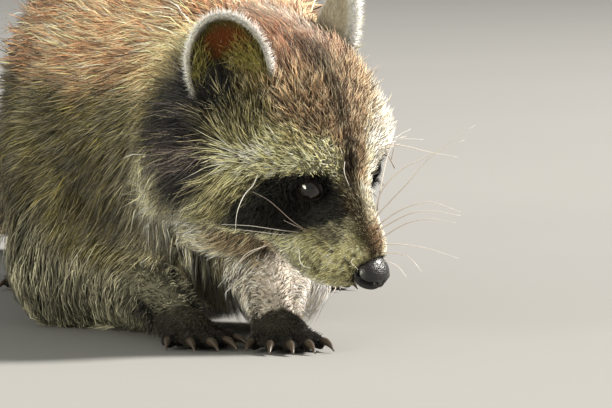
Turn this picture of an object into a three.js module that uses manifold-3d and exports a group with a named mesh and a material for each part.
// A life-size adult raccoon, crouched low with its head turned to its left and lowered to sniff
// the ground. Millimetres, +Z up, floor at Z = 0. The animal is described with its trunk along +X
// and its left side towards +Y, then turned so that the line from tail tip to nose runs along +X.
// Every surface is the outside of the coat: the tips of the fur, not the bare body.
import * as THREE from "three";
import { mergeVertices } from "three/addons/utils/BufferGeometryUtils.js";
import Module from "manifold-3d";

const wasm = await Module();
wasm.setup();

const v = (x, y, z) => new THREE.Vector3(x, y, z);
const { degToRad, clamp } = THREE.MathUtils;

// ---------- Driving sizes ----------
const PARTING_GAP = 0.3; // between neighbouring pieces
const WHOLE_TURN = -24; // degrees, from the trunk's own direction to the row frame

// The head's frame sits between the eyes: X to the nose, Y to the left eye, Z to the crown.
const HEAD_PLACE = { between_eyes: v(-6, 89.5, 84), yaw: 56, pitch: 38, roll: 11 };
const EYE = { radius: 7.3, forward: -2, apart: 45, up: 2 };
const NOSE_PAD = { centre: v(39.5, 0, -25.5), radii: v(9, 10.5, 8.5) };
const EAR = { height: 50, half_width: 19, cup_depth: 12.5, thickness: 4.5, widest_at: 0.4 };
const EAR_BASE = v(-54, 37, 14);
const EAR_LEAN_BACK = 24;
const EAR_LEAN_OUT = 14;
const EAR_FACES_OUT = 56;

const TRUNK_WIDTH = 192;
const TRUNK_HEIGHT = 200;
const BELLY_TO_FLOOR = 18;

const TAIL_THICKNESS = 72;
const CLAW_LENGTH = 10;

// ---------- Fields: how far a point lies outside a rounded form ----------
const egg = (centre, radii) => (p) => {
  const q = p.clone().sub(centre);
  const near = q.clone().divide(radii).length();
  const slope = q.divide(radii.clone().multiply(radii)).length();
  return slope < 1e-9 ? -Math.min(radii.x, radii.y, radii.z) : (near * (near - 1)) / slope;
};

// A limb between two joints, round, with its own thickness at each.
const limb = (from, to, from_radius, to_radius) => {
  const along = to.clone().sub(from);
  const length_sq = along.lengthSq();
  return (p) => {
    const share = clamp(p.clone().sub(from).dot(along) / length_sq, 0, 1);
    const reach = p.distanceTo(from.clone().addScaledVector(along, share));
    return reach - THREE.MathUtils.lerp(from_radius, to_radius, share);
  };
};

const FAR_OUTSIDE = 1e3;

// Several forms as one flesh: neighbours within `softness` flow into each other.
const flesh = (softness, ...forms) => (p) =>
  forms.reduce((outer, form) => {
    const here = form(p);
    const mix = clamp(0.5 + (0.5 * (here - outer)) / softness, 0, 1);
    return THREE.MathUtils.lerp(here, outer, mix) - softness * mix * (1 - mix);
  }, FAR_OUTSIDE);

const both_sides = (form_for_side) => [1, -1].map(form_for_side);

// ---------- From a field to a closed surface ----------
const MARCH_STEP = 2.5;

// How far from `start` towards `direction` the form ends, when it is `grow` thicker all over.
function edge_of(form, start, direction, grow) {
  const at = (r) => form(start.clone().addScaledVector(direction, r)) - grow;
  let outside = 0;
  while (at(outside) < 0) outside += MARCH_STEP;
  let inside = Math.max(outside - MARCH_STEP, 0);
  for (let halving = 0; halving < 14; halving++) {
    const middle = (inside + outside) / 2;
    if (at(middle) < 0) inside = middle;
    else outside = middle;
  }
  return inside;
}

// A form as rings of points round an axis that runs through its middle, from tip to tip.
function body_surface(form, axis_points, { rings, sides, grow = 0 }) {
  const inner = new THREE.CatmullRomCurve3(axis_points);
  const ends = [
    [axis_points[0], inner.getTangent(0).negate()],
    [axis_points.at(-1), inner.getTangent(1)],
  ].map(([p, out]) => p.clone().addScaledVector(out, edge_of(form, p, out, grow)));
  const axis = new THREE.CatmullRomCurve3([ends[0], ...axis_points, ends[1]]);
  axis.arcLengthDivisions = 400;
  const points = [ends[0]];
  for (let ring = 1; ring < rings; ring++) {
    const share = (1 - Math.cos((Math.PI * ring) / rings)) / 2;
    const centre = axis.getPointAt(share);
    const forward = axis.getTangentAt(share);
    const left = v(0, 0, 1).cross(forward).normalize();
    const up = forward.clone().cross(left);
    for (let side = 0; side < sides; side++) {
      const turn = (2 * Math.PI * side) / sides;
      const out = left.clone().multiplyScalar(Math.cos(turn)).addScaledVector(up, Math.sin(turn));
      points.push(centre.clone().addScaledVector(out, Math.max(edge_of(form, centre, out, grow), 0.2)));
    }
  }
  points.push(ends[1]);
  return stitched(points, rings, sides);
}

// Faces for a first point, rings - 1 rings of `sides` points each, and a last point.
function stitched(points, rings, sides) {
  const last = points.length - 1;
  const on_ring = (ring, side) => 1 + (ring - 1) * sides + (side % sides);
  const faces = [];
  for (let side = 0; side < sides; side++) {
    faces.push(0, on_ring(1, side + 1), on_ring(1, side));
    for (let ring = 1; ring < rings - 1; ring++) {
      const [a, b] = [on_ring(ring, side), on_ring(ring, side + 1)];
      const [c, d] = [on_ring(ring + 1, side + 1), on_ring(ring + 1, side)];
      faces.push(a, b, c, a, c, d);
    }
    faces.push(last, on_ring(rings - 1, side), on_ring(rings - 1, side + 1));
  }
  const geometry = new THREE.BufferGeometry().setFromPoints(points);
  geometry.setIndex(faces);
  return geometry;
}

// ---------- Joining and cutting ----------
function solid(geometry) {
  const bare = geometry.clone();
  bare.deleteAttribute("normal");
  bare.deleteAttribute("uv");
  const merged = mergeVertices(bare, 1e-4);
  const made = new wasm.Manifold(
    new wasm.Mesh({
      numProp: 3,
      vertProperties: new Float32Array(merged.attributes.position.array),
      triVerts: new Uint32Array(merged.index.array),
    }),
  );
  if (made.volume() < 0) throw new Error("a surface faces inwards");
  return made;
}

function geometry_of(manifold) {
  const mesh = manifold.getMesh();
  const geometry = new THREE.BufferGeometry();
  geometry.setAttribute("position", new THREE.BufferAttribute(mesh.vertProperties, 3));
  geometry.setIndex(new THREE.BufferAttribute(mesh.triVerts, 1));
  geometry.computeVertexNormals();
  return geometry;
}

const cut = (whole, ...cutters) => cutters.reduce((left, cutter) => left.subtract(cutter), whole);
const joined = (...pieces) => pieces.reduce((sum, piece) => sum.add(piece));

// The largest of the bodies that a cut leaves: small slivers are dropped.
const main_body = (manifold) =>
  manifold.decompose().reduce((best, body) => (body.volume() > best.volume() ? body : best));

function block(low, high) {
  const size = high.clone().sub(low);
  const geometry = new THREE.BoxGeometry(size.x, size.y, size.z);
  geometry.translate((low.x + high.x) / 2, (low.y + high.y) / 2, (low.z + high.z) / 2);
  return solid(geometry);
}

const FAR = 1000;
const below_floor = () => block(v(-FAR, -FAR, -FAR), v(FAR, FAR, 0));

// ---------- Coat colours ----------
const coat = (colour, roughness = 0.85) =>
  new THREE.MeshStandardMaterial({ color: colour, roughness, metalness: 0 });
const GRIZZLED = coat(0x8a7a62);
const GREY_BROWN = coat(0x7d705c);
const FACE = coat(0x9a8c70);
const DARK_FOOT = coat(0x4a4640);
const EAR_GREY = coat(0xb8ac98);
const TAIL_FUR = coat(0x6e6250);
const NOSE_LEATHER = coat(0x1c1a1a, 0.35);
const EYE_GLOSS = coat(0x120d0a, 0.08);
const CLAW_HORN = coat(0x3a322a, 0.4);

const mesh_of = (name, manifold, material) => {
  const made = new THREE.Mesh(geometry_of(manifold), material);
  made.name = name;
  return made;
};

// ---------- Head ----------
const head_form = flesh(
  13,
  egg(v(-47, 0, 11), v(46, 45, 40)), // braincase
  egg(v(-78, 0, -6), v(34, 50, 44)), // back of the head
  ...both_sides((s) => egg(v(-18, s * 21, 14), v(22, 19, 16))), // brows
  limb(v(-16, 0, 12), v(27, 0, -13), 15, 8.5), // bridge of the nose
  limb(v(-8, 0, -13), v(28, 0, -24.5), 22, 12.5), // muzzle
  ...both_sides((s) => egg(v(17, s * 7.5, -26.5), v(18, 10, 10.5))), // whisker pads
  limb(v(-34, 0, -34), v(20, 0, -35.5), 24, 8.5), // lower jaw and chin
  ...both_sides((s) => egg(v(4, s * 9, -36), v(22, 11, 12))), // lips
  ...both_sides((s) => egg(v(-33, s * 31, -17), v(32, 26, 26))), // cheeks
  ...both_sides((s) => egg(v(-55, s * 42, -22), v(27, 29, 35))), // cheek ruffs
);
const HEAD_AXIS = [v(-80, 0, -8), v(-40, 0, -7), v(0, 0, -13), v(30, 0, -24)];
const head_surface = (grow = 0) => body_surface(head_form, HEAD_AXIS, { rings: 23, sides: 20, grow });

const eye_centre = (side) => v(EYE.forward, (side * EYE.apart) / 2, EYE.up);

function ball(centre, radius) {
  return new THREE.SphereGeometry(radius, 11, 8).translate(centre.x, centre.y, centre.z);
}

// A shallow hollow in front of each eye, where the coat is too short to hide the lids.
const eye_hollow = (side) => {
  const outwards = v(0.72, side * 0.66, 0.2).normalize();
  return ball(eye_centre(side).addScaledVector(outwards, 9.5), 8.6);
};

const nose_surface = (grow = 0) => {
  const back = NOSE_PAD.centre.clone().add(v(-3, 0, 0));
  const front = NOSE_PAD.centre.clone().add(v(4, 0, 0));
  const form = egg(NOSE_PAD.centre, NOSE_PAD.radii);
  return body_surface(form, [back, front], { rings: 7, sides: 10, grow });
};

// ---------- Ears ----------
// An ear is an upright cup: Z from base to tip, hollow towards +X, Y across.
const EAR_ACROSS = 8;
const EAR_UP = 6;
const EAR_WRAP = degToRad(82);

function ear_point(across, up, outset) {
  const past_widest = (up - EAR.widest_at) / (1 - EAR.widest_at);
  const below_widest = (up - EAR.widest_at) / 0.62;
  const bulge = up > EAR.widest_at ? past_widest : below_widest;
  const half_width = (EAR.half_width + outset) * Math.sqrt(Math.max(1 - bulge ** 2, 0));
  const depth = (EAR.cup_depth * (1 - 0.55 * up) + outset) * Math.sqrt(Math.max(1 - up ** 3, 0));
  const turn = across * EAR_WRAP;
  return v(
    depth * (Math.cos(EAR_WRAP) - Math.cos(turn)),
    (half_width * Math.sin(turn)) / Math.sin(EAR_WRAP),
    up * (EAR.height + outset),
  );
}

function ear_surface() {
  const points = [];
  const sheets = [0, EAR.thickness];
  for (const outset of sheets)
    for (let row = 0; row < EAR_UP; row++)
      for (let column = 0; column <= EAR_ACROSS; column++)
        points.push(ear_point((2 * column) / EAR_ACROSS - 1, (row / EAR_UP) ** 0.85, outset));
  const tips = sheets.map((outset) => points.push(ear_point(0, 1, outset)) - 1);
  const on = (sheet, row, column) =>
    row === EAR_UP ? tips[sheet] : (sheet * EAR_UP + row) * (EAR_ACROSS + 1) + column;
  const faces = [];
  const quad = (a, b, c, d) => {
    if (a !== b && b !== c) faces.push(a, b, c);
    if (c !== d && d !== a) faces.push(a, c, d);
  };
  for (let row = 0; row < EAR_UP; row++) {
    for (let i = 0; i < EAR_ACROSS; i++) {
      quad(on(0, row, i), on(0, row, i + 1), on(0, row + 1, i + 1), on(0, row + 1, i));
      quad(on(1, row, i + 1), on(1, row, i), on(1, row + 1, i), on(1, row + 1, i + 1));
    }
    const last = EAR_ACROSS;
    quad(on(0, row, 0), on(0, row + 1, 0), on(1, row + 1, 0), on(1, row, 0));
    quad(on(1, row, last), on(1, row + 1, last), on(0, row + 1, last), on(0, row, last));
  }
  for (let i = 0; i < EAR_ACROSS; i++) quad(on(0, 0, i), on(1, 0, i), on(1, 0, i + 1), on(0, 0, i + 1));
  const geometry = new THREE.BufferGeometry().setFromPoints(points);
  geometry.setIndex(faces);
  return geometry;
}

// Each ear leans back and outwards, with its hollow facing forwards and to its own side.
function placed_ear(side) {
  const lean = new THREE.Euler(
    degToRad(-side * EAR_LEAN_OUT), degToRad(-EAR_LEAN_BACK), degToRad(side * EAR_FACES_OUT), "XYZ");
  const place = new THREE.Matrix4().makeRotationFromEuler(lean);
  place.setPosition(EAR_BASE.x, side * EAR_BASE.y, EAR_BASE.z);
  return ear_surface().applyMatrix4(place);
}

// ---------- Trunk and neck ----------
const TRUNK_CENTRE_HEIGHT = BELLY_TO_FLOOR + TRUNK_HEIGHT / 2;
const trunk_egg = (x, y, rise, long, width, height) =>
  egg(
    v(x, y, TRUNK_CENTRE_HEIGHT + rise),
    v(long, (TRUNK_WIDTH / 2) * width, (TRUNK_HEIGHT / 2) * height),
  );
const torso_form = flesh(
  30,
  trunk_egg(-158, -4, -6, 88, 0.84, 0.86), // chest
  trunk_egg(-250, 0, 2, 105, 0.9, 0.9), // ribs
  trunk_egg(-335, 0, 8, 105, 0.9, 0.94), // arched loin
  trunk_egg(-398, 0, -4, 78, 0.86, 0.86), // rump
  egg(v(-232, -2, 72), v(125, 101, 54)), // belly and flanks
  limb(v(-160, -6, 128), v(-66, 32, 122), 82, 60), // nape and neck
  limb(v(-126, 12, 92), v(-52, 38, 86), 62, 42), // throat
);
const TORSO_AXIS = [v(-430, 0, 118), v(-290, 0, 122), v(-160, -2, 120), v(-72, 30, 116)];
const torso_surface = (grow = 0) =>
  body_surface(torso_form, TORSO_AXIS, { rings: 19, sides: 20, grow });
// Flat seams between trunk, neck and head: a point on each, and which way it faces.
const NECK_SEAM = { at: v(-122, 0, 120), down: 12, turn: 14 };
const HEAD_SEAM = { at: v(-50, 36, 128), down: 16, turn: 38 };

// ---------- Tail ----------
const TAIL_LINE = [
  v(-452, 0, 116),
  v(-514, -14, 96),
  v(-572, -46, 66),
  v(-622, -96, 44),
  v(-660, -156, 40),
];
const tail_radius = [0.8, 0.95, 1, 0.98, 0.84].map((share) => (share * TAIL_THICKNESS) / 2);
const tail_form = flesh(
  24,
  ...TAIL_LINE.slice(1).map((joint, i) => limb(TAIL_LINE[i], joint, tail_radius[i], tail_radius[i + 1])),
);
const tail_surface = () => body_surface(tail_form, TAIL_LINE, { rings: 11, sides: 12 });

// ---------- Legs ----------
// The stretches of each leg, each a form and the line its rings run along. The last point of the
// last line is the wrist or ankle, where the foot takes over.
function foreleg(shoulder, elbow, wrist, hair_out) {
  const hanging_hair = elbow.clone().add(v(-14, Math.sign(shoulder.y) * hair_out, -6));
  const upper_arm = flesh(
    18,
    egg(shoulder, v(46, 38, 52)),
    limb(shoulder, elbow, 34, 33),
    egg(hanging_hair, v(36, 32, 32)),
  );
  return [
    { form: upper_arm, line: [shoulder, hanging_hair] },
    { form: limb(elbow, wrist, 33, 14), line: [elbow, wrist] },
  ];
}

function hindleg(hip, knee, ankle) {
  const under_knee = knee.clone().add(v(-16, 0, -8));
  return [
    { form: flesh(22, egg(hip, v(66, 46, 60)), limb(hip, knee, 42, 30)), line: [hip, knee] },
    { form: limb(under_knee, ankle, 24, 17), line: [under_knee, ankle] },
  ];
}

const LEGS = {
  foreleg_right: foreleg(v(-142, -50, 90), v(-126, -34, 39), v(-46, 6, 19), 22),
  foreleg_left: foreleg(v(-146, 46, 92), v(-116, 52, 46), v(-34, 58, 19), 9),
  hindleg_right: hindleg(v(-384, -56, 94), v(-326, -66, 56), v(-410, -72, 27)),
  hindleg_left: hindleg(v(-384, 56, 94), v(-326, 66, 56), v(-410, 72, 27)),
};
const leg_solid = (name, grow = 0) =>
  joined(...LEGS[name].map(({ form, line }) =>
    solid(body_surface(form, line, { rings: 8, sides: 11, grow }))));

// ---------- Feet ----------
// A foot lies along +X from its wrist or heel, sole on the floor. Toes are [side, length, spread].
const HAND = {
  palm: [v(-4, 0, 12), v(23, 0, 8), 11.5, 9],
  toe_root: 21, toe_radius: 4.4, palm_half_width: 9.5,
  toes: [[-1, 17, -26], [-0.5, 27, -10], [0, 30, 0], [0.5, 27, 10], [1, 18, 26]],
};
const HIND_FOOT = {
  palm: [v(2, 0, 14), v(52, 0, 8.5), 14, 10],
  toe_root: 50, toe_radius: 5, palm_half_width: 12.5,
  toes: [[-1, 19, -22], [-0.5, 28, -9], [0, 31, 0], [0.5, 28, 9], [1, 18, 22]],
};
const TOE_TIP_HEIGHT = 4;
const PALM_RINGS = { rings: 6, sides: 8 };
const TOE_RINGS = { rings: 4, sides: 5 };
const CLAW_ROOT_RADIUS = 1.9;
const CLAW_TIP_RADIUS = 0.5;

function toe_line(foot, [side, length, spread]) {
  const root = v(foot.toe_root, side * foot.palm_half_width, 7.5);
  const turn = degToRad(spread);
  const tip = v(root.x + length * Math.cos(turn), root.y + length * Math.sin(turn), TOE_TIP_HEIGHT);
  return [root, tip];
}

const toe_form = (foot, toe) => {
  const [root, tip] = toe_line(foot, toe);
  return limb(root, tip, foot.toe_radius + 1, foot.toe_radius);
};

function claw_form(foot, toe, grow = 0) {
  const [root, tip] = toe_line(foot, toe);
  const ahead = tip.clone().sub(root).setZ(0).normalize();
  const start = tip.clone().addScaledVector(ahead, foot.toe_radius - 3).setZ(5);
  const knuckle = start.clone().addScaledVector(ahead, CLAW_LENGTH * 0.5).setZ(5.2);
  const point = start.clone().addScaledVector(ahead, CLAW_LENGTH).setZ(1.6);
  const thin = (CLAW_ROOT_RADIUS + CLAW_TIP_RADIUS) / 2 + 0.2;
  const form = flesh(
    0.6, limb(start, knuckle, CLAW_ROOT_RADIUS, thin), limb(knuckle, point, thin, CLAW_TIP_RADIUS));
  return solid(body_surface(form, [start, knuckle, point], { rings: 4, sides: 5, grow }));
}

function foot_solid(foot) {
  const [heel, ball_of_foot, heel_radius, ball_radius] = foot.palm;
  const palm_form = flesh(
    8, limb(heel, ball_of_foot, heel_radius, ball_radius),
    ...both_sides((s) => egg(ball_of_foot.clone().add(v(-6, s * 6, 0)), v(16, 10, ball_radius * 0.85))));
  const palm = solid(body_surface(palm_form, [heel, ball_of_foot], PALM_RINGS));
  const toes = foot.toes.map((toe) =>
    solid(body_surface(toe_form(foot, toe), toe_line(foot, toe), TOE_RINGS)));
  const claws = foot.toes.map((toe) => claw_form(foot, toe, PARTING_GAP));
  return main_body(cut(joined(palm, ...toes), below_floor(), ...claws));
}

const FEET = {
  foreleg_right: { foot: HAND, turn: 22, behind_ankle: 0 },
  foreleg_left: { foot: HAND, turn: 8, behind_ankle: 0 },
  hindleg_right: { foot: HIND_FOOT, turn: -6, behind_ankle: 14 },
  hindleg_left: { foot: HIND_FOOT, turn: 6, behind_ankle: 14 },
};
const LEG_TO_FLOOR = 2;

function foot_group(leg_name) {
  const { foot, turn, behind_ankle } = FEET[leg_name];
  const ankle = LEGS[leg_name].at(-1).line.at(-1);
  const ahead = v(Math.cos(degToRad(turn)), Math.sin(degToRad(turn)), 0);
  const group = new THREE.Group();
  group.position.copy(ankle).addScaledVector(ahead, -behind_ankle).setZ(0);
  group.rotation.z = degToRad(turn);
  group.add(mesh_of(leg_name.replace("leg", "foot"), foot_solid(foot), DARK_FOOT));
  foot.toes.forEach((toe, i) => {
    const claw = main_body(cut(claw_form(foot, toe), below_floor()));
    group.add(mesh_of(`${leg_name.replace("leg", "_claw")}_${i + 1}`, claw, CLAW_HORN));
  });
  group.updateMatrixWorld(true);
  return group;
}

// What a foot takes out of its leg: the foot itself and the room round its heel and palm.
function foot_room(leg_name, group) {
  const { palm } = FEET[leg_name].foot;
  const [heel, ball_of_foot, heel_radius, ball_radius] = palm;
  const form = limb(heel, ball_of_foot, heel_radius, ball_radius);
  const room = body_surface(form, [heel, ball_of_foot], { ...PALM_RINGS, grow: PARTING_GAP });
  return joined(solid(room), solid(group.children[0].geometry)).transform(group.matrix.elements);
}

// ---------- The whole animal ----------
// A plate as thick as the parting gap, right across the body.
function seam_plate({ at, down, turn }) {
  const plate = new THREE.BoxGeometry(PARTING_GAP, FAR, FAR);
  const tilt = new THREE.Euler(0, degToRad(down), degToRad(turn), "ZYX");
  return solid(plate.applyMatrix4(new THREE.Matrix4().makeRotationFromEuler(tilt).setPosition(at)));
}

function raccoon() {
  const animal = new THREE.Group();
  const head = new THREE.Group();
  head.position.copy(HEAD_PLACE.between_eyes);
  head.rotation.set(
    degToRad(HEAD_PLACE.roll), degToRad(HEAD_PLACE.pitch), degToRad(HEAD_PLACE.yaw), "ZYX");
  head.updateMatrixWorld(true);
  animal.add(head);
  const in_head = (geometry) => solid(geometry.applyMatrix4(head.matrix));
  const out_of_head = head.matrix.clone().invert().elements;

  const flesh_of = (grow) => joined(in_head(head_surface(grow)), solid(torso_surface(grow)));
  const grown_flesh = flesh_of(PARTING_GAP);
  const bodies = cut(
    flesh_of(0),
    seam_plate(NECK_SEAM),
    seam_plate(HEAD_SEAM),
    ...both_sides((s) => in_head(ball(eye_centre(s), EYE.radius + PARTING_GAP))),
    ...both_sides((s) => in_head(eye_hollow(s))),
    in_head(nose_surface(PARTING_GAP)),
    ...Object.keys(LEGS).map((name) => leg_solid(name, PARTING_GAP)),
  ).decompose().sort((a, b) => b.volume() - a.volume()).slice(0, 3);
  const [trunk, neck, skull] = bodies.sort((a, b) => a.boundingBox().min[0] - b.boundingBox().min[0]);
  animal.add(mesh_of("trunk", trunk, GRIZZLED));
  animal.add(mesh_of("neck", neck, GRIZZLED));
  animal.add(mesh_of("tail", main_body(cut(solid(tail_surface()), grown_flesh)), TAIL_FUR));

  head.add(mesh_of("head", skull.transform(out_of_head), FACE));
  head.add(mesh_of("nose", solid(nose_surface()), NOSE_LEATHER));
  for (const [name, side] of [["left", 1], ["right", -1]]) {
    const ear = main_body(cut(in_head(placed_ear(side)), grown_flesh));
    head.add(mesh_of(`ear_${name}`, ear.transform(out_of_head), EAR_GREY));
    head.add(mesh_of(`eye_${name}`, solid(ball(eye_centre(side), EYE.radius)), EYE_GLOSS));
  }

  const floor_clearance = block(v(-FAR, -FAR, -FAR), v(FAR, FAR, LEG_TO_FLOOR));
  for (const name of Object.keys(LEGS)) {
    const foot = foot_group(name);
    const leg = main_body(cut(leg_solid(name), foot_room(name, foot), floor_clearance));
    animal.add(mesh_of(name, leg, GREY_BROWN), foot);
  }
  return animal;
}

const animal = raccoon();
animal.rotation.z = degToRad(WHOLE_TURN);

// The origin is on the floor under the middle of the whole outline.
const part = new THREE.Group();
part.add(animal);
part.updateMatrixWorld(true);
const outline = new THREE.Box3().setFromObject(part, true);
const middle = outline.getCenter(new THREE.Vector3());
animal.position.set(-middle.x, -middle.y, 0);

export default part;
